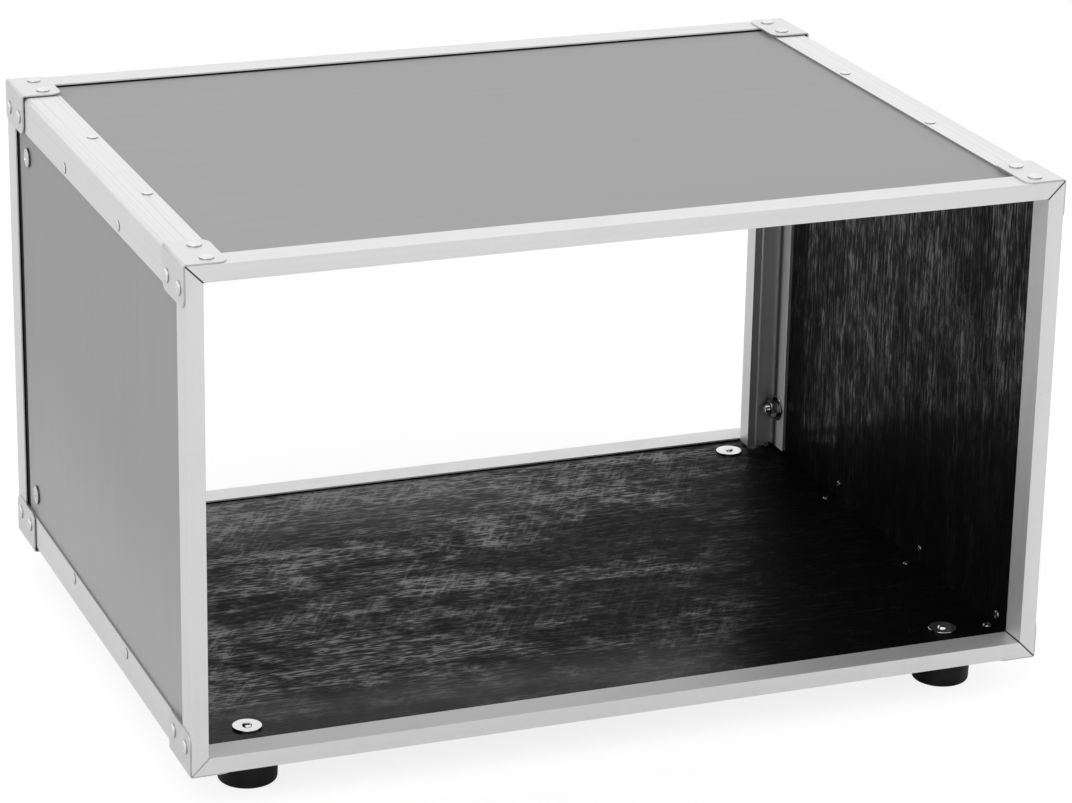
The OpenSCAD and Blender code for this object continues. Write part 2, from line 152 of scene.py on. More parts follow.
class RackCaseColours(bpy.types.PropertyGroup):
    """Colours of the finishes, as linear values."""

    film: tone("Film", "Satin film on the outside of the panels", 0.345)
    stain_dark: tone("Stain", "Black stain inside the case, where it lies thick", 0.0022)
    # This colour is also the painted shadow laid in the film's slot.
    rubbed_stain_and_shadow: tone("Rubbed stain", "Fibres that show through the black stain", 0.016)
    ply: tone("Plywood edge", "Bare plies on the panels' edges", (0.29, 0.25, 0.2))
    channel: tone("Channel", "Mill-finish channel round the open ends", 0.84)
    angle: tone("Edge angle", "Mill-finish angle along the edges", 0.86)
    bracket: tone("Bracket", "Folded sheet of the corner brackets", 0.81)
    rail: tone("Rack rail", "Extruded rails for the sliding nuts", 0.8)
    rivet: tone("Rivet", "Domed rivets", 0.88)
    zinc: tone("Zinc plate", "Plated bolts, nuts and washers", 0.8)
    rubber: tone("Rubber", "Moulded rubber of the feet", 0.006)
    dust: tone("Dust", "Pale dust on the feet", 0.09)
    # In the seams this colour is a dark joint; round the rims of rivet heads and on rivet tails it is painted
    # shade; on the faces of washers and nuts it is a painted dark reflection, and it also darkens the rims of
    # the bolt heads.
    grime_and_shade: tone("Grime", "Dark residue in seams and round rivet heads", 0.05)


class RackCaseStage(bpy.types.PropertyGroup):
    """Levels of the white studio."""

    sky: level("Sky level", "Light that the white surroundings give to matt surfaces", 0.7)
    floor: level("Floor level", "Lightness of the floor", 0.85)
    floor_lift: level(
        "Floor lift", "What is added to the floor as the camera sees it, so that it is white", 0.83)
    floor_seen: level(
        "Floor seen", "Share of the floor's own light that the camera sees, which sets the shadow", 0.32)
    floor_shine: level("Floor shine", "What is added to the floor as metal reflects it", 0.06)
    key_power: power("Key lamp", "Power of the large lamp over the left front", 17.0)
    fill_power: power("Fill lamp", "Power of the lamp on the right", 1.5)


# Shader nodes


class Socket:
    """An output socket of a node; sums on it add Math nodes."""

    def __init__(self, nodes, link):
        self.nodes = nodes
        self.link = link

    def __add__(self, other):
        return self.nodes.maths("ADD", self, other)

    __radd__ = __add__

    def __sub__(self, other):
        return self.nodes.maths("SUBTRACT", self, other)

    def __rsub__(self, other):
        return self.nodes.maths("SUBTRACT", other, self)

    def __mul__(self, other):
        return self.nodes.maths("MULTIPLY", self, other)

    __rmul__ = __mul__

    def __abs__(self):
        return self.nodes.maths("ABSOLUTE", self, 0.0)


class Nodes:
    """The node tree of one finish or of the world."""

    def __init__(self, owner):
        owner.use_nodes = True
        self.owner = owner
        self.tree = owner.node_tree
        self.tree.nodes.clear()

    def add(self, kind, settings=None, sockets=None, output=0):
        """Adds a node, sets it up, fills its sockets with values or links, and gives one output."""
        node = self.tree.nodes.new(kind)
        for name, value in (settings or {}).items():
            setattr(node, name, value)
        for name, value in (sockets or {}).items():
            if isinstance(value, Socket):
                self.tree.links.new(value.link, node.inputs[name])
            else:
                node.inputs[name].default_value = value
        return Socket(self, node.outputs[output]) if node.outputs else node

    def maths(self, operation, first, second):
        return self.add("ShaderNodeMath", {"operation": operation}, {0: first, 1: second})

    def lower(self, first, second):
        return self.maths("MINIMUM", first, second)

    def higher(self, first, second):
        return self.maths("MAXIMUM", first, second)

    def place(self):
        """Position on the case in metres."""
        return self.add("ShaderNodeTexCoord", output="Object")

    def facing(self):
        """Direction that the flat face looks in."""
        return self.add("ShaderNodeNewGeometry", output="True Normal")

    def painted(self, name):
        """A number that the mesh carries at each point."""
        return self.add("ShaderNodeAttribute", {"attribute_name": name}, output="Fac")

    def split(self, vector):
        node = self.add("ShaderNodeSeparateXYZ", sockets={0: vector}).link.node
        return [Socket(self, output) for output in node.outputs]

    def join(self, x, y, z):
        return self.add("ShaderNodeCombineXYZ", sockets={0: x, 1: y, 2: z})

    def vector_maths(self, operation, first, second):
        return self.add("ShaderNodeVectorMath", {"operation": operation}, {0: first, 1: second})

    def noise(self, vector, scale, detail=2.0, rough=0.5, shift=None, spin=0.0, bend=0.0):
        """Noise on a vector that is first shifted, turned about its third axis and scaled by one or three."""
        if shift:
            vector = self.vector_maths("ADD", vector, shift)
        if spin:
            turned = (0.0, 0.0, math.radians(spin))
            sockets = {"Vector": vector, "Rotation": turned, "Scale": tuple(1 / s for s in scale)}
            vector = self.add("ShaderNodeMapping", {"vector_type": "TEXTURE"}, sockets)
        elif isinstance(scale, tuple):
            vector = self.vector_maths("MULTIPLY", vector, scale)
        sockets = {"Vector": vector, "Scale": 1.0 if isinstance(scale, tuple) else scale, "Detail": detail,
                   "Roughness": rough, "Distortion": bend}
        return self.add("ShaderNodeTexNoise", {"noise_dimensions": "3D"}, sockets)

    def cells(self, vector, scale, output):
        return self.add("ShaderNodeTexVoronoi", {"feature": "F1"}, {"Vector": vector, "Scale": scale}, output)

    def ramp(self, value, low, high):
        """A smooth step from nought at low to one at high."""
        return self.add("ShaderNodeMapRange", {"interpolation_type": "SMOOTHSTEP"},
                        {"Value": value, "From Min": low, "From Max": high})

    def tint(self, share, first, second):
        """Mixes two colours."""
        sockets = {0: share, 6: colour(first), 7: colour(second)}
        return self.add("ShaderNodeMix", {"data_type": "RGBA", "blend_type": "MIX"}, sockets, 2)

    def shade(self, base, share):
        """Multiplies a colour by a grey level."""
        grey = self.add("ShaderNodeCombineColor", sockets={0: share, 1: share, 2: share})
        sockets = {0: 1.0, 6: colour(base), 7: grey}
        return self.add("ShaderNodeMix", {"data_type": "RGBA", "blend_type": "MULTIPLY"}, sockets, 2)

    def bump(self, height, distance, strength):
        sockets = {"Height": height, "Distance": distance, "Strength": strength}
        return self.add("ShaderNodeBump", sockets=sockets)

    def surface(self, **sockets):
        """A Principled surface; underscores in the names stand for spaces."""
        named = {name.replace("_", " "): value for name, value in sockets.items()}
        named["Base Color"] = colour(named["Base Color"])
        return self.add("ShaderNodeBsdfPrincipled", sockets=named)

    def mix(self, share, first, second):
        return self.add("ShaderNodeMixShader", sockets={0: share, 1: first, 2: second})

    def finish(self, surface, kind="ShaderNodeOutputMaterial"):
        """Links the surface to the output, and gives the finished material or world."""
        self.add(kind, sockets={"Surface": surface})
        return self.owner


def colour(value):
    """A colour socket as it is, or three numbers with an alpha of one."""
    if isinstance(value, Socket):
        return value
    return (*tuple(value)[:3], 1.0)


def new_finish(name):
    return Nodes(bpy.data.materials.new(name))


# Finishes


def board_finish(name, side, colours):
    """Grey satin film outside, black-stained veneer inside and plies without film on the edges of one panel.
    """
    n = new_finish(name)
    x, y, z = n.split(n.place())
    nx, _, nz = n.split(n.facing())
    flat = side in ("top", "bottom")
    sign = 1.0 if side in ("top", "right") else -1.0
    along = x if flat else z - MID_Z
    depth = z if flat else x
    out = (nz if flat else nx) * sign

    # Painted shade in the slot beside the channel legs, painted wider at the far end of the left panel,
    # standing in for the shadow in the gap of the real bowed panel.
    painted_slot_shade = n.ramp(abs(y), LEG_END - 0.0008, LEG_END - 0.0002)
    if side == "left":
        shade_widening = (1 - n.ramp(z, 0.2, 0.29)) * 0.002
        painted_slot_shade = n.higher(painted_slot_shade, n.ramp(y + shade_widening, LEG_END - 0.0032, LEG_END - 0.0024))

    film = film_surface(n, flat, n.join(along, y, depth), painted_slot_shade, colours)
    stain = stain_surface(n, flat, along, depth, painted_slot_shade, colours)
    edge = ply_surface(n, depth, colours)
    return n.finish(n.mix(n.ramp(out, 0.4, 0.6), n.mix(n.ramp(out, -0.6, -0.4), stain, edge), film))


def film_surface(n, flat, seat, painted_slot_shade, colours):
    """Film with faint streaks, a soft cloud, fine speckle, a few pale rubs, painted light low on the sides,
    and painted shadow in the slot.
    """
    _, _, z = n.split(n.place())
    streak = n.noise(seat, (9.0, 130.0, 60.0), 4.0, 0.6)
    cloud = n.noise(seat, (3.5, 6.0, 6.0), 3.0, 0.55)
    speck = n.noise(seat, 1500.0)
    rub_line = n.noise(seat, (14.0, 420.0, 60.0), 3.0, 0.7, spin=24.0)
    rub_spot = n.noise(seat, 9.0, shift=(0.7, 0.3, 0.2))
    rub = n.ramp(rub_line, 0.64, 0.74) * n.ramp(rub_spot, 0.56, 0.7)
    grey = 0.86 + streak * 0.18 + cloud * 0.15 + speck * 0.05 + rub * 0.08
    # On the side panels the film is painted lighter toward the bottom: painted light from the floor.
    if not flat:
        grey = grey - 0.03 + (1 - n.ramp(z, 0.04, 0.18)) * 0.3
    film = n.surface(Base_Color=n.shade(colours.film, grey), IOR=1.46,
                     Roughness=0.36 + streak * 0.08 + speck * 0.06 + rub * 0.12,
                     Normal=n.bump(streak * 0.5 + speck * 0.6, 0.00006, 0.6))
    # A dark matt sheet laid over the film where the painted slot shade is: painted shadow.
    shadow = n.surface(Base_Color=colours.rubbed_stain_and_shadow, Roughness=0.9, Specular_IOR_Level=0.05)
    return n.mix(painted_slot_shade * 0.95, film, shadow)


def stain_surface(n, flat, along, depth, painted_slot_shade, colours):
    """Black stain whose gloss shows short fibres and brush marks, in clouds where it is rubbed thin."""
    x, y, z = n.split(n.place())
    seat = n.join(along, y, depth)

    # Fibres at two scales that sway a little; run, pitch and spread set how long and fine they are.
    run, pitch, spread = (44.0, 500.0, 3.4) if flat else (36.0, 620.0, 2.4)
    across = 430.0
    sway = (n.noise(seat, 9.0) - 0.5) * (0.0025 if flat else 0.0012)
    swayed = n.join(along, y + sway, depth)
    fibre = n.noise(swayed, (run, pitch, across), 2.0, 0.55)
    thread = n.noise(swayed, (run * spread, pitch * 1.3, across), 1.5, shift=(0.4, 0.1, 0.6))
    lines = n.ramp(fibre * 0.55 + thread * 0.45, 0.45, 0.59)
    vary = n.ramp(n.noise(seat, (110.0, 170.0, 60.0), shift=(0.8, 0.2, 0.5)), 0.35, 0.65)

    # Clouds and long bands in which the stain is thin.
    cloud = n.noise(seat, (6.0, 19.0, 12.0), 3.0, 0.6, shift=(0.21, 0.37, 0.0), bend=0.4)
    blotch = n.noise(seat, 60.0, 3.0, 0.65, shift=(0.5, 0.1, 0.3))
    patch = n.ramp(cloud * 0.68 + blotch * 0.32, 0.43, 0.59)
    band = n.noise(seat, (5.0, 80.0, 30.0), shift=(0.3, 0.9, 0.2))
    streaked = 0.68 + n.ramp(band, 0.36, 0.62) * 0.6

    # Brush marks that cross the fibres both ways, and a few short curved scratches.
    brush = n.noise(seat, (34.0, 330.0, 60.0), 4.0, 0.7, shift=(0.13, 0.05, 0.0), spin=58.0)
    cross = n.noise(seat, (40.0, 330.0, 60.0), 4.0, 0.7, shift=(0.61, 0.35, 0.0), spin=-34.0)
    brush_spot = n.noise(seat, 14.0, 3.0, 0.6, shift=(0.9, 0.4, 0.2))
    marks = (n.ramp(brush, 0.5, 0.6) + n.ramp(cross, 0.52, 0.62)) * n.ramp(brush_spot, 0.42, 0.58)
    arc = abs(n.cells(n.vector_maths("ADD", seat, (0.031, 0.017, 0.0)), 15.0, "Distance") - 0.34)
    arc_cut = n.noise(seat, 38.0, 1.0, shift=(0.3, 0.8, 0.1))
    scratch = (1 - n.ramp(arc, 0.0, 0.008)) * n.ramp(arc_cut, 0.62, 0.66)

    # How much gloss and pale fibre colour the stain shows over the whole board. On the floor it follows
    # clouds where the stain is rubbed thin, with painted reflection toward the far end and painted shade
    # toward the right wall; on the walls it is less toward the bottom.
    if flat:
        thin = 0.1 + patch * 0.6 + n.ramp(y, 0.04, 0.16) * 0.3
        thin = thin * (1 - n.ramp(x - y * 0.35, 0.04, 0.19) * 0.82)
        crossed = 0.7
        # Painted reflection: more gloss and a lighter colour toward the far left of the floor.
        painted_far_sheen = n.ramp(y, 0.06, 0.15) * (1 - n.ramp(x, 0.0, 0.12)) * 0.19
        haze = n.ramp(0 - y, 0.1, 0.15) * (1 - n.ramp(x, 0.04, 0.12)) * 0.75
    else:
        sweep = n.noise(seat, (9.0, 44.0, 20.0), 3.0, shift=(0.4, 0.7, 0.0), spin=40.0)
        thin = (0.22 + patch * 0.38) * (0.78 + n.ramp(sweep, 0.4, 0.6) * 0.35)
        thin = thin * (0.6 + n.ramp(z, 0.06, 0.18) * 0.4)
        crossed = 0.3
        painted_far_sheen = 0.0
        haze = 0.0
    worn = 0.12 + lines * (0.45 + vary * 1.3) + marks * crossed
    gloss = thin * streaked * worn + scratch * 0.25 + painted_far_sheen
    # The stain loses its gloss under the painted slot shade.
    gloss = n.lower(gloss * (1 - haze) + haze * (0.28 + patch * 0.14), 1.0) * (1 - painted_slot_shade)
    return n.surface(
        Base_Color=n.tint(gloss, colours.stain_dark, colours.rubbed_stain_and_shadow),
        Roughness=0.55 - gloss * 0.14, Specular_IOR_Level=0.03, Coat_Weight=gloss,
        Coat_Roughness=0.28 if flat else 0.16, Coat_IOR=1.5,
        Normal=n.bump(lines * 0.7 + marks * 0.2 - scratch * 0.5, 0.0001, 0.7))


def ply_surface(n, depth, colours):
    """Cut edge of a board, with thin plies of turning grain."""
    plies_per_metre = 770.0
    ply = n.ramp(abs(n.maths("FRACT", depth * plies_per_metre, 0.0) - 0.5), 0.2, 0.3)
    grain = n.noise(n.place(), (60.0, 60.0, 900.0), 3.0)
    return n.surface(
        Base_Color=n.shade(colours.ply, 0.55 + ply * 0.4 + grain * 0.25), Roughness=0.75,
        Normal=n.bump(grain, 0.0002, 0.6))


def metal_skin(n, run, across, other, wear):
    """Marks that drawn metal has along its run: die lines, cloudy handling marks and short scratches."""
    seat = n.join(run, across, other)
    line = n.noise(seat, (3.0, 1500.0, 1500.0), 3.0, 0.6)
    broad = n.noise(seat, (6.0, 260.0, 260.0))
    haze = n.noise(seat, 26.0, 4.0, 0.6)
    scrape = n.ramp(n.noise(seat, (40.0, 1300.0, 300.0), 2.0, 0.6, spin=12.0), 0.68, 0.76)
    scrape = scrape * n.ramp(n.noise(seat, 34.0, 1.0, shift=(0.5, 0.2, 0.7)), 0.5, 0.62)
    mark = n.ramp(haze, 0.5, 0.75) * wear
    grey = 0.93 + line * 0.06 + broad * 0.05 - mark * 0.05 - scrape * 0.08
    rough = 0.46 + line * 0.08 + mark * 0.06 + scrape * 0.06
    height = line * 0.5 + broad * 0.4 - scrape * 0.8
    return grey, rough, height


def free_edge(n, x, z, nx, nz):
    """One on the thin edges of the legs and wings that lie along the case's long corners."""
    inner, outer = 0.016, 0.012
    top_edge = n.ramp(abs(nx), 0.6, 0.8) * (1 - n.ramp(abs(x), HALF_W - inner, HALF_W - outer))
    side_edge = n.ramp(abs(nz), 0.6, 0.8) * (1 - n.ramp(abs(z - MID_Z), HALF_H - inner, HALF_H - outer))
    return n.higher(top_edge, side_edge)


def channel_finish(name, upright, colours):
    """Mill-finish channel with a dark hairline at its mitres, which close tighter at the lower left."""
    n = new_finish(name)
    x, y, z = n.split(n.place())
    run, other = (z, x) if upright else (x, z)
    grey, rough, height = metal_skin(n, run, y, other, wear=0.7)
    gap = abs((HALF_W - abs(x)) - (HALF_H - abs(z - MID_Z)))
    tight = (1 - n.ramp(x, -0.05, 0.05)) * (1 - n.ramp(z, MID_Z - 0.05, MID_Z + 0.05))
    seam = (1 - n.ramp(gap, 0.0004, 0.0008)) * (1 - tight * 0.6)
    base = n.tint(seam * 0.95, n.shade(colours.channel, grey), colours.grime_and_shade)
    return n.finish(n.surface(
        Base_Color=base, Metallic=0.85, Roughness=rough + 0.04 + seam * 0.3,
        Normal=n.bump(height - seam * 3.0, 0.00004, 0.8)))


def angle_finish(name, colours):
    """Drawn angle with fine ribs on both legs, with painted shade where the brackets end and on its edges."""
    n = new_finish(name)
    x, y, z = n.split(n.place())
    nx, _, nz = n.split(n.facing())
    grey, rough, height = metal_skin(n, y, x, z, wear=0.4)
    reach = abs(x) + abs(z - MID_Z)
    rib = n.noise(n.join(reach, 0.0, y * 0.002), 620.0, 1.0, 0.4)
    groove = n.ramp(rib, 0.54, 0.64)
    # Painted shade in a thin line where each corner bracket ends on the angle.
    shade = 1 - n.ramp(abs(abs(y) - BRACKET_END + 0.0003), 0.0003, 0.0009)
    # Painted shade on the thin free edges of the legs.
    edge = free_edge(n, x, z, nx, nz)
    grey = (grey - groove * (0.05 + abs(nz) * 0.07) - shade * 0.4) * (1 - edge * 0.5)
    return n.finish(n.surface(
        Base_Color=n.shade(colours.angle, grey), Metallic=1.0, Roughness=rough,
        Normal=n.bump(height * 0.4 - groove, 0.00005, 0.8)))


def bracket_finish(name, colours):
    """Satin folded sheet, with painted shade along the fold and on its cut edges."""
    n = new_finish(name)
    spot = n.place()
    x, _, z = n.split(spot)
    nx, ny, nz = n.split(n.facing())
    grain = n.noise(spot, (900.0, 240.0, 900.0), 3.0, 0.6)
    haze = n.noise(spot, 60.0, 3.0, 0.6)
    corner = (HALF_W - abs(x)) + (HALF_H - abs(z - MID_Z))
    # Painted shade along the fold.
    fold = 1 - n.ramp(corner, -0.0012, -0.0002)
    # Painted shade on the cut edges that face the case's ends and on the free edges of the wings.
    cut = n.higher(n.ramp(abs(ny), 0.5, 0.8), free_edge(n, x, z, nx, nz))
    grey = 0.92 + grain * 0.07 + haze * 0.06 - fold * 0.16 - cut * 0.28
    return n.finish(n.surface(
        Base_Color=n.shade(colours.bracket, grey), Metallic=1.0,
        Roughness=0.34 + grain * 0.08 + haze * 0.06,
        Normal=n.bump(grain * 0.5 + haze * 0.4, 0.00005, 0.7)))


def rail_finish(name, block_back, colours):
    """Extruded rail with die lines from end to end, back faces rougher and painted darker as painted shade,
    and a flange painted dark near the block as painted shade and lighter and less metallic at its free edge
    as painted light.
    """
    n = new_finish(name)
    x, y, z = n.split(n.place())
    nx, ny, _ = n.split(n.facing())
    # Back faces painted darker: painted shade.
    back = n.ramp(0 - ny, 0.8, 0.95)
    behind = block_back - y
    flange = n.ramp(abs(nx), 0.8, 0.95) * n.ramp(behind, 0.0, 0.0005)
    # The flange's free edge is painted lighter and made less metallic: painted light; the rest of the flange
    # is painted dark near the block: painted shade.
    painted_light_edge = n.ramp(behind, 0.003, 0.007) * flange
    seat = n.join(x, y, z * 0.004)
    line = n.noise(seat, 1400.0, 2.0, 0.6)
    broad = n.noise(seat, 330.0, 1.0)
    grey = (0.88 + line * 0.1 + broad * 0.12) * (1 - back * 0.42) * (1 - (flange - painted_light_edge) * 0.7)
    return n.finish(n.surface(
        Base_Color=n.shade(colours.rail, grey * (1 + painted_light_edge * 0.2)), Metallic=1 - painted_light_edge,
        Roughness=0.4 + line * 0.08 + back * 0.06,
        Normal=n.bump(line + broad, 0.00002, 0.5)))


def rivet_finish(name, colours, tail_painted_shade, rim_painted_shade=0.65):
    """Bright upset aluminium with painted shade round the rim of the head, on the tail and in the tail's
    hollow.
    """
    n = new_finish(name)
    spot = n.place()
    share = n.painted("from_axis")
    inside = n.painted("below_head")
    fine = n.noise(spot, 2600.0)
    haze = n.noise(spot, 420.0, 3.0, 0.6)
    # Painted shade in the tail's hollow and round the rim of the head, and a painted dark reflection over the
    # tail.
    hollow = (1 - n.ramp(share, 0.2, 0.3)) * inside * tail_painted_shade
    rim = n.ramp(share, 0.93, 1.0) * (1 - inside)
    grime_and_shade = n.lower(hollow * 0.4 + rim * rim_painted_shade + inside * tail_painted_shade, 1.0) * (0.55 + haze * 0.7)
    base = n.tint(grime_and_shade, n.shade(colours.rivet, 0.93 + haze * 0.1), colours.grime_and_shade)
    return n.finish(n.surface(
        Base_Color=base, Metallic=1.0, Roughness=0.22 + haze * 0.12,
        Normal=n.bump(fine * 0.4 + haze, 0.00003, 0.6)))


def zinc_finish(name, colours, dull=0.0, rim_dark=0.0, face_dark=0.0):
    """Zinc plate with a faint crystalline mottle; it can be dull, that is rougher and darker, all over,
    darker on a rim, or painted darker inside the rim as a painted dark reflection.
    """
    n = new_finish(name)
    spot = n.place()
    mottle = n.split(n.cells(spot, 900.0, "Color"))[0]
    haze = n.noise(spot, 150.0, 3.0, 0.6)
    ring = n.noise(spot, 1900.0)
    grey = (0.86 + mottle * 0.09 + haze * 0.1) * (1 - dull * 0.5)
    rim = n.ramp(n.painted("from_axis"), 0.96, 0.99)
    # face_dark paints the face inside the rim darker: painted dark reflection.
    base = n.tint(rim * rim_dark + (1 - rim) * face_dark, n.shade(colours.zinc, grey), colours.grime_and_shade)
    return n.finish(n.surface(
        Base_Color=base, Metallic=1.0,
        Roughness=0.08 + dull * 0.14 + mottle * 0.04 + haze * 0.06,
        Normal=n.bump(ring * 0.5 + mottle * 0.2, 0.00003, 0.6)))


def rubber_finish(name, colours):
    """Moulded black rubber, a little dusty on its tread."""
    n = new_finish(name)
    spot = n.place()
    _, _, z = n.split(spot)
    pore = n.noise(spot, 1700.0, 3.0, 0.6)
    bloom = n.noise(spot, 90.0, 3.0, 0.6)
    dust = n.ramp(bloom, 0.45, 0.75) * (1 - n.ramp(z, 0.0, 0.012) * 0.7)
    base = n.tint(dust * 0.2, n.shade(colours.rubber, 0.8 + pore * 0.4), colours.dust)
    return n.finish(n.surface(
        Base_Color=base, Roughness=0.3 + pore * 0.12 + dust * 0.2,
        Specular_IOR_Level=0.22, Normal=n.bump(pore, 0.0001, 0.5)))


# Meshes


def number_layer(bm, name):
    """The layer of numbers with this name on the points of a bmesh."""
    return bm.verts.layers.float.get(name) or bm.verts.layers.float.new(name)


def round_point(bm, place, radius, angle, height):
    return bm.verts.new(place @ Vector((radius * math.cos(angle), radius * math.sin(angle), height)))


def turn(bm, profile, place, steps, scale, closed=False):
    """Turns a profile of radius and height points about its axis; scale is the radius of the rim."""
    share = number_layer(bm, "from_axis")
    below = number_layer(bm, "below_head")
    least_radius = 1e-7
    head_seat = -0.0005
    rings = []
    for radius, height in profile:
        count = 1 if radius < least_radius else steps
        ring = []
        for i in range(count):
            vert = round_point(bm, place, radius, 2 * math.pi * i / count, height)
            vert[share] = radius / scale
            vert[below] = 1.0 if height < head_seat else 0.0
            ring.append(vert)
        rings.append(ring)
    pairs = list(zip(rings, rings[1:]))
    if closed:
        pairs.append((rings[-1], rings[0]))
    for upper, lower in pairs:
        skin(bm, upper, lower)


def skin(bm, upper, lower):
    """Closes the strip between two rings, either of which may be one point."""
    count = max(len(upper), len(lower))
    for i in range(count):
        j = (i + 1) % count
        corners = [upper[i % len(upper)], upper[j % len(upper)], lower[j % len(lower)], lower[i % len(lower)]]
        bm.faces.new(list(dict.fromkeys(corners)))


def make_piece(name, bm, material, replaced, crease=35.0):
    """Turns a bmesh into a smooth-shaded piece that rides on the case and stands for CAD nodes."""
    bmesh.ops.recalc_face_normals(bm, faces=bm.faces)
    for face in bm.faces:
        face.smooth = True
    for edge in bm.edges:
        edge.smooth = len(edge.link_faces) == 2 and edge.calc_face_angle() < math.radians(crease)
    piece = make_object(name, bm)
    piece.data.materials.append(material)
    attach(piece, "root")
    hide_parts(*replaced)
    return piece


def make_object(name, bm):
    """Puts a bmesh into the scene as an object."""
    mesh = bpy.data.meshes.new(name)
    bm.to_mesh(mesh)
    bm.free()
    made = bpy.data.objects.new(name, mesh)
    bpy.context.scene.collection.objects.link(made)
    return made


def dress(names, material, rounding=0.0):
    """Gives CAD nodes their finish and softens their cut edges."""
    for name in names:
        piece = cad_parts[name]
        for holder in piece.material_slots:
            holder.material = material
        if not rounding:
            continue
        join = piece.modifiers.new("Join corners", "WELD")
        join.merge_threshold = 1e-6
        flatten = piece.modifiers.new("Whole faces", "DECIMATE")
        flatten.decimate_type = "DISSOLVE"
        flatten.angle_limit = math.radians(0.4)
        soften = piece.modifiers.new("Soften edges", "BEVEL")
        soften.width = rounding
        soften.segments = 2
        soften.limit_method = "ANGLE"
        soften.angle_limit = math.radians(34)
        soften.harden_normals = True


def quarter(steps):
    """Sine and cosine of even steps from nought to a right angle."""
    angles = [math.radians(90 * i / steps) for i in range(steps + 1)]
    return [(math.sin(a), math.cos(a)) for a in angles]


def dome(head_d, head_h):
    """Profile of a domed head, from its top to its seat."""
    r = head_d / 2
    rim = head_h * 0.16
    points = [(0.0, head_h)]
    for across, up in quarter(10)[1:]:
        points.append((r * across, rim + (head_h - rim) * up))
    points += [(r, rim * 0.4), (r * 0.97, 0.0)]
    return points


def tail(shank_d, grip, reach):
    """Profile of a rivet under its head: the shank through its grip, and the upset end with its hollow."""
    r = shank_d * TAIL_RADIUS
    shares = [(0.9, 0.0), (0.98, 0.16), (1.0, 0.36), (0.94, 0.62), (0.78, 0.86), (0.62, 0.98), (0.5, 1.0),
              (0.42, 0.9), (0.4, 0.6), (0.0, 0.5)]
    points = [(shank_d / 2, 0.0), (shank_d / 2, -grip)]
    return points + [(r * across, -grip - reach * down) for across, down in shares]


def button_tail(shank_d, grip, reach):
    """Profile of a rivet under its head: the shank through its grip, and a closed low dome."""
    r = shank_d * TAIL_RADIUS
    points = [(shank_d / 2, 0.0), (shank_d / 2, -grip)]
    for down, across in quarter(8):
        points.append((r * (0.12 + 0.88 * across), -grip - reach * down))
    return points + [(0.0, -grip - reach)]


def washer(bm, place, outer, inner, low, high):
    """A flat washer with softened outer edges."""
    soft = (high - low) * 0.25
    points = [(inner, low), (outer - soft, low), (outer, low + soft), (outer, high - soft * 0.4),
              (outer - soft * 0.4, high), (inner, high)]
    turn(bm, points, place, steps=48, scale=outer, closed=True)


def sides():
    """For each side of the case: its turn, half length, and where its brackets, angles and panel lie."""
    top_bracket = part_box("front_top_left_bracket")
    low_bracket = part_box("front_bottom_right_bracket")
    top_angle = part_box("top_left_angle")
    low_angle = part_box("bottom_right_angle")
    return {
        "top": (0.0, HALF_W, top_bracket[1].z - MID_Z, top_angle[1].z - MID_Z,
                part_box("top_panel")[0].z - MID_Z),
        "right": (90.0, HALF_H, low_bracket[1].x, low_angle[1].x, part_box("right_panel")[0].x),
        "bottom": (180.0, HALF_W, MID_Z - low_bracket[0].z, MID_Z - low_angle[0].z,
                   MID_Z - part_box("bottom_panel")[1].z),
        "left": (-90.0, HALF_H, -top_bracket[0].x, -top_angle[0].x, -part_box("left_panel")[1].x),
    }


def side_place(degrees, across, along, out, spin=0.0):
    """Matrix of a fastening that looks out of one side of the case."""
    turn_y = Matrix.Rotation(math.radians(degrees), 4, "Y")
    return (Matrix.Translation((0, 0, MID_Z)) @ turn_y @ Matrix.Translation((across, along, out))
            @ Matrix.Rotation(math.radians(spin), 4, "Z"))


# Operators


class RackCaseOperator:
    """What all the operators of this file share."""

    bl_options = {"REGISTER", "UNDO"}

    @staticmethod
    def settings(context):
        scene = context.scene
        return scene.rack_case_sizes, scene.rack_case_colours, scene.rack_case_stage


class RACKCASE_OT_panels(RackCaseOperator, bpy.types.Operator):
    """Film, stain and ply edges on the four panels"""

    bl_idname = "rackcase.panels"
    bl_label = "Finish Panels"

    def execute(self, context):
        _, colours, _ = self.settings(context)
        for side in ("top", "bottom", "left", "right"):
            dress([side + "_panel"], board_finish(side + "_board", side, colours))
        return {"FINISHED"}


class RACKCASE_OT_channels(RackCaseOperator, bpy.types.Operator):
    """Mill finish on the mitred channel frames"""

    bl_idname = "rackcase.channels"
    bl_label = "Finish Channels"

    def execute(self, context):
        sizes, colours, _ = self.settings(context)
        level_finish = channel_finish("level_channel", False, colours)
        upright_finish = channel_finish("upright_channel", True, colours)
        for end in ("rear", "front"):
            dress([end + "_top_channel", end + "_bottom_channel"], level_finish, sizes.edge_round)
            dress([end + "_left_channel", end + "_right_channel"], upright_finish, sizes.edge_round)
        return {"FINISHED"}


class RACKCASE_OT_angles(RackCaseOperator, bpy.types.Operator):
    """Ribbed mill finish on the edge angles"""

    bl_idname = "rackcase.angles"
    bl_label = "Finish Edge Angles"

    def execute(self, context):
        sizes, colours, _ = self.settings(context)
        dress(ANGLES, angle_finish("edge_angle", colours), sizes.edge_round)
        return {"FINISHED"}


class RACKCASE_OT_brackets(RackCaseOperator, bpy.types.Operator):
    """Satin finish on the folded corner brackets"""

    bl_idname = "rackcase.brackets"
    bl_label = "Finish Brackets"

    def execute(self, context):
        sizes, colours, _ = self.settings(context)
        names = [end + angle.replace("_angle", "_bracket") for end in ("rear_", "front_") for angle in ANGLES]
        dress(names, bracket_finish("corner_bracket", colours), sizes.edge_round)
        return {"FINISHED"}


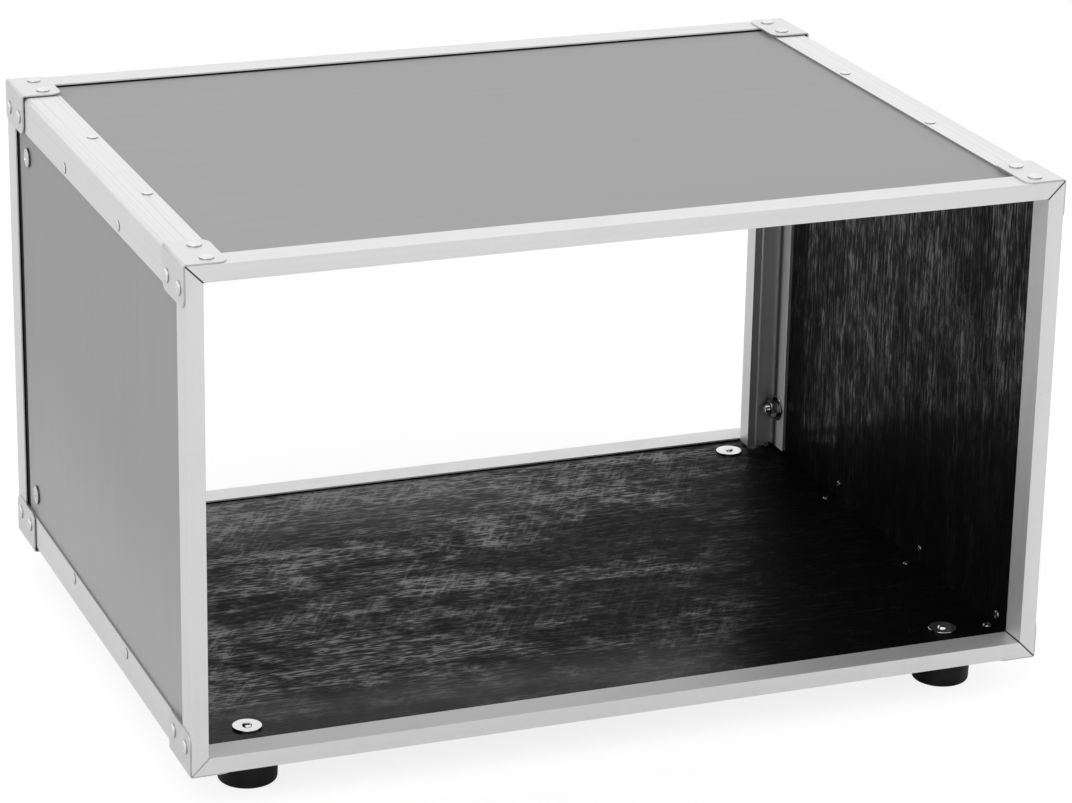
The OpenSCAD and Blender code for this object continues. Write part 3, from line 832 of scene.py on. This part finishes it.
class RACKCASE_OT_rails(RackCaseOperator, bpy.types.Operator):
    """Extruded finish on the rack rails"""

    bl_idname = "rackcase.rails"
    bl_label = "Finish Rack Rails"

    def execute(self, context):
        sizes, colours, _ = self.settings(context)
        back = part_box("left_rack_rail")[1].y - sizes.rail_block_d
        material = rail_finish("rack_rail", back, colours)
        dress(["left_rack_rail", "right_rack_rail"], material, sizes.edge_round)
        return {"FINISHED"}


class RACKCASE_OT_rivets(RackCaseOperator, bpy.types.Operator):
    """Domed rivets of the corner brackets and edge angles"""

    bl_idname = "rackcase.rivets"
    bl_label = "Set Rivets"

    def execute(self, context):
        sizes, colours, _ = self.settings(context)
        # How strongly the rivet tails inside the case are painted dark: painted shade.
        tail_painted_shade = 0.85
        bright = rivet_finish("bright_rivet", colours, tail_painted_shade)
        # The small edge rivets get the darkest painted shade round the rims of their heads.
        small_bright = rivet_finish("small_rivet", colours, tail_painted_shade, rim_painted_shade=1.0)
        long_bm = bmesh.new()
        short_bm = bmesh.new()
        edge_bm = bmesh.new()
        rim = sizes.corner_head_d / 2
        head = dome(sizes.corner_head_d, sizes.corner_head_h)
        small_head = dome(sizes.edge_head_d, sizes.edge_head_h)
        shank = sizes.corner_shank_d / 2
        short = head + [(shank, 0.0), (shank, -sizes.short_end), (0.0, -sizes.short_end)]
        for side, (degrees, half, bracket_out, angle_out, panel_in) in sides().items():
            through = head + tail(sizes.corner_shank_d, bracket_out - panel_in, sizes.tail_len)
            edge = small_head + tail(sizes.edge_shank_d, angle_out - panel_in, sizes.tail_len)
            for across, end in CORNERS:
                corner = across * (half - sizes.corner_in)
                place = side_place(degrees, corner, end * (HALF_D - sizes.row_short), bracket_out)
                turn(short_bm, short, place, steps=32, scale=rim)
                place = side_place(degrees, corner, end * (HALF_D - sizes.row_long), bracket_out)
                if end < 0 or side in ("top", "bottom"):
                    turn(long_bm, through, place, steps=32, scale=rim)
                else:
                    turn(short_bm, short, place, steps=32, scale=rim)
                place = side_place(degrees, across * (half - sizes.edge_in), end * sizes.edge_pitch / 2,
                                   angle_out)
                turn(edge_bm, edge, place, steps=28, scale=sizes.edge_head_d / 2)
        make_piece("set_long_rivets", long_bm, bright, ["long_corner_rivets"])
        make_piece("set_short_rivets", short_bm, bright, ["short_corner_rivets"])
        make_piece("set_edge_rivets", edge_bm, small_bright, ["edge_rivets"])
        return {"FINISHED"}


class RACKCASE_OT_rail_fastenings(RackCaseOperator, bpy.types.Operator):
    """Pan-head bolts, washers and nuts of the rack rails"""

    bl_idname = "rackcase.rail_fastenings"
    bl_label = "Bolt Rails"

    def execute(self, context):
        sizes, colours, _ = self.settings(context)
        bolt_plate = zinc_finish("zinc_bolt", colours, rim_dark=0.9)
        # The washers' and nuts' faces are painted darker inside the rim: painted dark reflection.
        washer_plate = zinc_finish("zinc_rail_washer", colours, dull=0.4, face_dark=0.7)
        nut_plate = zinc_finish("zinc_nut", colours, dull=1.0, face_dark=0.7)
        low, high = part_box("rail_bolts")
        nut_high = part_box("rail_nuts")[1]
        washer_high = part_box("rail_washers")[1]
        head_r = sizes.bolt_head_d / 2
        washer_r = washer_high.z - (high.z - head_r)
        washer_hole = sizes.bolt_d / 2 + 0.0002
        mid_y = (low.y + high.y) / 2
        places = []
        for degrees in (90.0, -90.0):
            for z in (low.z + head_r, high.z - head_r):
                across = (MID_Z - z) if degrees > 0 else (z - MID_Z)
                places.append(side_place(degrees, across, mid_y, 0.0, BOLT_SPINS[len(places)]))
        bolts = bmesh.new()
        washers = bmesh.new()
        nuts = bmesh.new()
        for place in places:
            self.bolt(bolts, place, sizes, high.x - sizes.bolt_head_h, self.inner_face("rail_bolts"))
            washer(washers, place, washer_r, washer_hole, self.inner_face("rail_washers"), washer_high.x)
            self.nut(nuts, place, sizes, self.inner_face("rail_nuts"), nut_high.x)
        bolts_piece = make_piece("rail_pan_bolts", bolts, bolt_plate, ["rail_bolts"])
        self.cut_recesses(bolts_piece, places, high.x, sizes.bolt_head_d)
        make_piece("rail_flat_washers", washers, washer_plate, ["rail_washers"])
        make_piece("rail_hex_nuts", nuts, nut_plate, ["rail_nuts"], crease=25.0)
        return {"FINISHED"}

    @staticmethod
    def inner_face(node):
        """How near to the case's middle plane a mirrored pair of pieces comes."""
        return min(abs(v.co.x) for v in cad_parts[node].data.vertices)

    @staticmethod
    def bolt(bm, place, sizes, seat_x, end_x):
        """A pan head with a rounded rim, and a shank whose end shows its thread."""
        r = sizes.bolt_head_d / 2
        h = sizes.bolt_head_h
        points = [(0.0, seat_x + h)]
        for across, up in quarter(8)[1:]:
            points.append((r * (0.55 + 0.45 * across), seat_x + h * (0.6 + 0.37 * up)))
        points += [(r, seat_x + h * 0.1), (r * 0.97, seat_x)]
        shank = sizes.bolt_d / 2
        root = shank - 0.0005
        crest = end_x + 0.0072
        last_crest = end_x + 0.0008
        points += [(shank, seat_x), (shank, crest + 0.0003)]
        while crest > last_crest:
            points += [(shank, crest), (root, crest - sizes.thread_pitch / 2)]
            crest -= sizes.thread_pitch
        points += [(root - 0.0001, end_x + 0.0001), (root - 0.0004, end_x), (0.0, end_x)]
        turn(bm, points, place, steps=40, scale=r)

    @staticmethod
    def nut(bm, place, sizes, low, high):
        """A hexagon nut whose corners are turned down to a cone at both ends."""
        flat = sizes.nut_flats / 2
        face = flat * 0.96
        bore = sizes.bolt_d / 2 + 0.00005
        slope = math.tan(math.radians(30))
        sixth = math.pi / 3
        steps = 48
        share = number_layer(bm, "from_axis")
        rings = [[] for _ in range(6)]
        for i in range(steps):
            angle = 2 * math.pi * i / steps
            hexagon = flat / math.cos((angle + sixth / 2) % sixth - sixth / 2)
            drop = (hexagon - face) * slope
            profile = [(bore, high), (face, high), (hexagon, high - drop), (hexagon, low + drop), (face, low),
                       (bore, low)]
            for ring, (radius, height) in zip(rings, profile):
                vert = round_point(bm, place, radius, angle, height)
                vert[share] = radius / flat
                ring.append(vert)
        for upper, lower in zip(rings, rings[1:] + rings[:1]):
            skin(bm, upper, lower)

    @staticmethod
    def cut_recesses(piece, places, face_x, head_d):
        """Cuts a tapered cross recess into each bolt head."""
        reach = head_d * 0.25
        half = head_d * 0.055
        mouth, mouth_x = 1.06, face_x + 0.0004
        floor, floor_x = 0.62, face_x - 0.0019
        outline = [(reach, -half), (reach, half), (half, half), (half, reach), (-half, reach), (-half, half),
                   (-reach, half), (-reach, -half), (-half, -half), (-half, -reach), (half, -reach),
                   (half, -half)]
        cutter = bmesh.new()
        for place in places:
            top = [cutter.verts.new(place @ Vector((u * mouth, v * mouth, mouth_x))) for u, v in outline]
            foot = [cutter.verts.new(place @ Vector((u * floor, v * floor, floor_x))) for u, v in outline]
            skin(cutter, top, foot)
            cutter.faces.new(top)
            cutter.faces.new(foot)
        bmesh.ops.recalc_face_normals(cutter, faces=cutter.faces)
        tool = make_object("recess_cutter", cutter)
        cut = piece.modifiers.new("Cross recess", "BOOLEAN")
        cut.operation = "DIFFERENCE"
        cut.solver = "EXACT"
        cut.object = tool
        bpy.context.view_layer.update()
        made = bpy.data.meshes.new_from_object(piece.evaluated_get(bpy.context.evaluated_depsgraph_get()))
        piece.modifiers.clear()
        piece.data = made
        bpy.data.objects.remove(tool)


class RACKCASE_OT_feet(RackCaseOperator, bpy.types.Operator):
    """Moulded rubber feet"""

    bl_idname = "rackcase.feet"
    bl_label = "Mould Feet"

    def execute(self, context):
        sizes, colours, _ = self.settings(context)
        material = rubber_finish("foot_rubber", colours)
        for name in FEET:
            low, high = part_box(name)
            centre = (low + high) / 2
            bm = bmesh.new()
            place = Matrix.Translation((centre.x, centre.y, 0.0))
            self.foot(bm, place, (high.x - low.x) / 2, high.z, sizes)
            make_piece("moulded_" + name, bm, material, [name], crease=40.0)
        return {"FINISHED"}

    @staticmethod
    def foot(bm, place, radius, height, sizes):
        """A tapered foot with a rounded tread, a mould line and a bore that clears its rivet's head."""
        bore = sizes.foot_bore_d / 2
        hole = sizes.corner_shank_d / 2 + 0.0001
        tread = radius - 0.001
        soft = sizes.foot_round
        lip = 0.0004
        band = 0.0022
        waist = radius - 0.00025
        bevel = 0.0006
        ceiling = height - 0.008
        points = [(hole, height), (radius - lip, height), (radius, height - lip), (radius, height - band),
                  (waist, height - band - lip), (waist, height - band - lip * 2)]
        for down, across in quarter(8):
            points.append((tread - soft + soft * across, soft - soft * down))
        points += [(bore + bevel, 0.0), (bore, bevel), (bore, ceiling - bevel), (bore - bevel, ceiling),
                   (hole, ceiling)]
        turn(bm, points, place, steps=72, scale=radius, closed=True)


class RACKCASE_OT_foot_fastenings(RackCaseOperator, bpy.types.Operator):
    """Washers and rivets that hold the feet"""

    bl_idname = "rackcase.foot_fastenings"
    bl_label = "Fasten Feet"

    def execute(self, context):
        sizes, colours, _ = self.settings(context)
        plate = zinc_finish("zinc_washer", colours)
        # The foot rivets' tails get only a little painted shade.
        bright = rivet_finish("foot_rivet", colours, tail_painted_shade=0.1)
        washer_low, washer_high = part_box("foot_washers")
        rivet_low, rivet_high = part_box("foot_rivets")
        washers = bmesh.new()
        rivets = bmesh.new()
        seat = rivet_low.z + sizes.corner_head_h
        washer_hole = sizes.corner_shank_d / 2 + 0.0001
        rivet = dome(sizes.corner_head_d, sizes.corner_head_h)
        rivet += button_tail(sizes.corner_shank_d, washer_high.z - seat, rivet_high.z - washer_high.z)
        for name in FEET:
            low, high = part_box(name)
            x = (low.x + high.x) / 2
            y = (low.y + high.y) / 2
            place = Matrix.Translation((x, y, 0.0))
            washer(washers, place, washer_high.x - abs(x), washer_hole, washer_low.z, washer_high.z)
            upside_down = Matrix.Translation((x, y, seat)) @ Matrix.Rotation(math.pi, 4, "X")
            turn(rivets, rivet, upside_down, steps=36, scale=sizes.corner_head_d / 2)
        make_piece("floor_washers", washers, plate, ["foot_washers"])
        make_piece("set_foot_rivets", rivets, bright, ["foot_rivets"])
        return {"FINISHED"}


class RACKCASE_OT_stage(RackCaseOperator, bpy.types.Operator):
    """White floor and surroundings, soft lamps and the camera"""

    bl_idname = "rackcase.stage"
    bl_label = "Set Stage"

    def execute(self, context):
        _, _, stage = self.settings(context)
        self.surroundings(context.scene, stage)
        self.floor(stage)
        self.lamp(context.scene, "key_softbox", KEY_SPOT, KEY_WIDTH, stage.key_power)
        self.lamp(context.scene, "fill_softbox", FILL_SPOT, FILL_WIDTH, stage.fill_power)
        self.camera(context.scene)
        context.scene.view_settings.view_transform = "Standard"
        return {"FINISHED"}

    @staticmethod
    def seen(n):
        """Masks of the rays from the camera, and of all rays that show the background."""
        node = n.add("ShaderNodeLightPath").link.node
        camera = Socket(n, node.outputs["Is Camera Ray"])
        glossy = Socket(n, node.outputs["Is Glossy Ray"])
        through = Socket(n, node.outputs["Is Transmission Ray"])
        return camera, n.higher(camera, n.higher(glossy, through))

    def surroundings(self, scene, stage):
        n = Nodes(bpy.data.worlds.new("white_studio"))
        _, shown = self.seen(n)
        strength = stage.sky + shown * (1.0 - stage.sky)
        back = n.add("ShaderNodeBackground", sockets={"Color": (1.0, 1.0, 1.0, 1.0), "Strength": strength})
        scene.world = n.finish(back, "ShaderNodeOutputWorld")

    def floor(self, stage):
        bm = bmesh.new()
        bmesh.ops.create_grid(bm, x_segments=12, y_segments=12, size=FLOOR_REACH)
        floor = make_object("studio_floor", bm)
        floor.location.z = -FLOOR_DROP
        n = new_finish("studio_floor")
        camera, shown = self.seen(n)
        lift = camera * stage.floor_lift + (shown - camera) * stage.floor_shine
        grain = n.noise(n.place(), 3.0, 3.0)
        grey = (0.99 + grain * 0.02) * (1 - camera * (1 - stage.floor_seen))
        paper = n.add("ShaderNodeBsdfDiffuse", sockets={"Color": n.shade((stage.floor,) * 3, grey)})
        glow = n.add("ShaderNodeEmission", sockets={"Strength": lift})
        floor.data.materials.append(n.finish(n.add("ShaderNodeAddShader", sockets={0: paper, 1: glow})))

    @staticmethod
    def lamp(scene, name, spot, width, watts):
        data = bpy.data.lights.new(name, "AREA")
        data.shape = "SQUARE"
        data.size = width
        data.energy = watts
        lamp = bpy.data.objects.new(name, data)
        scene.collection.objects.link(lamp)
        lamp.location = spot
        aim = Vector((0.0, 0.0, MID_Z)) - Vector(spot)
        lamp.rotation_euler = aim.to_track_quat("-Z", "Y").to_euler()

    @staticmethod
    def camera(scene):
        data = bpy.data.cameras.new("photo_camera")
        data.sensor_width = CAMERA_SENSOR
        data.lens = CAMERA_LENS
        data.clip_start, data.clip_end = CAMERA_CLIP
        camera = bpy.data.objects.new("photo_camera", data)
        scene.collection.objects.link(camera)
        azimuth = Matrix.Rotation(math.radians(CAMERA_AZIMUTH), 4, "Z")
        tilt = Matrix.Rotation(math.radians(90.0 - CAMERA_ELEVATION), 4, "X")
        roll = Matrix.Rotation(math.radians(CAMERA_ROLL), 4, "Z")
        camera.matrix_world = Matrix.Translation(CAMERA_SPOT) @ azimuth @ tilt @ roll
        scene.camera = camera


class RACKCASE_PT_sidebar(bpy.types.Panel):
    """Lists the steps and settings of the rack case"""

    bl_idname = "RACKCASE_PT_sidebar"
    bl_label = "Rack Case"
    bl_space_type = "VIEW_3D"
    bl_region_type = "UI"
    bl_category = "Rack Case"

    def draw(self, context):
        layout = self.layout
        for step in STEPS:
            layout.operator(step.bl_idname)
        for pointer, group in GROUPS.items():
            box = layout.box()
            for name in group.__annotations__:
                box.prop(getattr(context.scene, pointer), name)


STEPS = (
    RACKCASE_OT_stage,
    RACKCASE_OT_panels,
    RACKCASE_OT_channels,
    RACKCASE_OT_angles,
    RACKCASE_OT_brackets,
    RACKCASE_OT_rails,
    RACKCASE_OT_rivets,
    RACKCASE_OT_rail_fastenings,
    RACKCASE_OT_feet,
    RACKCASE_OT_foot_fastenings,
)
GROUPS = {
    "rack_case_sizes": RackCaseSizes,
    "rack_case_colours": RackCaseColours,
    "rack_case_stage": RackCaseStage,
}
CLASSES = (*GROUPS.values(), *STEPS, RACKCASE_PT_sidebar)


def register():
    for cls in CLASSES:
        bpy.utils.register_class(cls)
    for pointer, group in GROUPS.items():
        setattr(bpy.types.Scene, pointer, bpy.props.PointerProperty(type=group))


def unregister():
    for pointer in GROUPS:
        delattr(bpy.types.Scene, pointer)
    for cls in reversed(CLASSES):
        bpy.utils.unregister_class(cls)


def main():
    register()
    bpy.ops.rackcase.stage()
    bpy.ops.rackcase.panels()
    bpy.ops.rackcase.channels()
    bpy.ops.rackcase.angles()
    bpy.ops.rackcase.brackets()
    bpy.ops.rackcase.rails()
    bpy.ops.rackcase.rivets()
    bpy.ops.rackcase.rail_fastenings()
    bpy.ops.rackcase.feet()
    bpy.ops.rackcase.foot_fastenings()


if __name__ == "__main__":
    main()
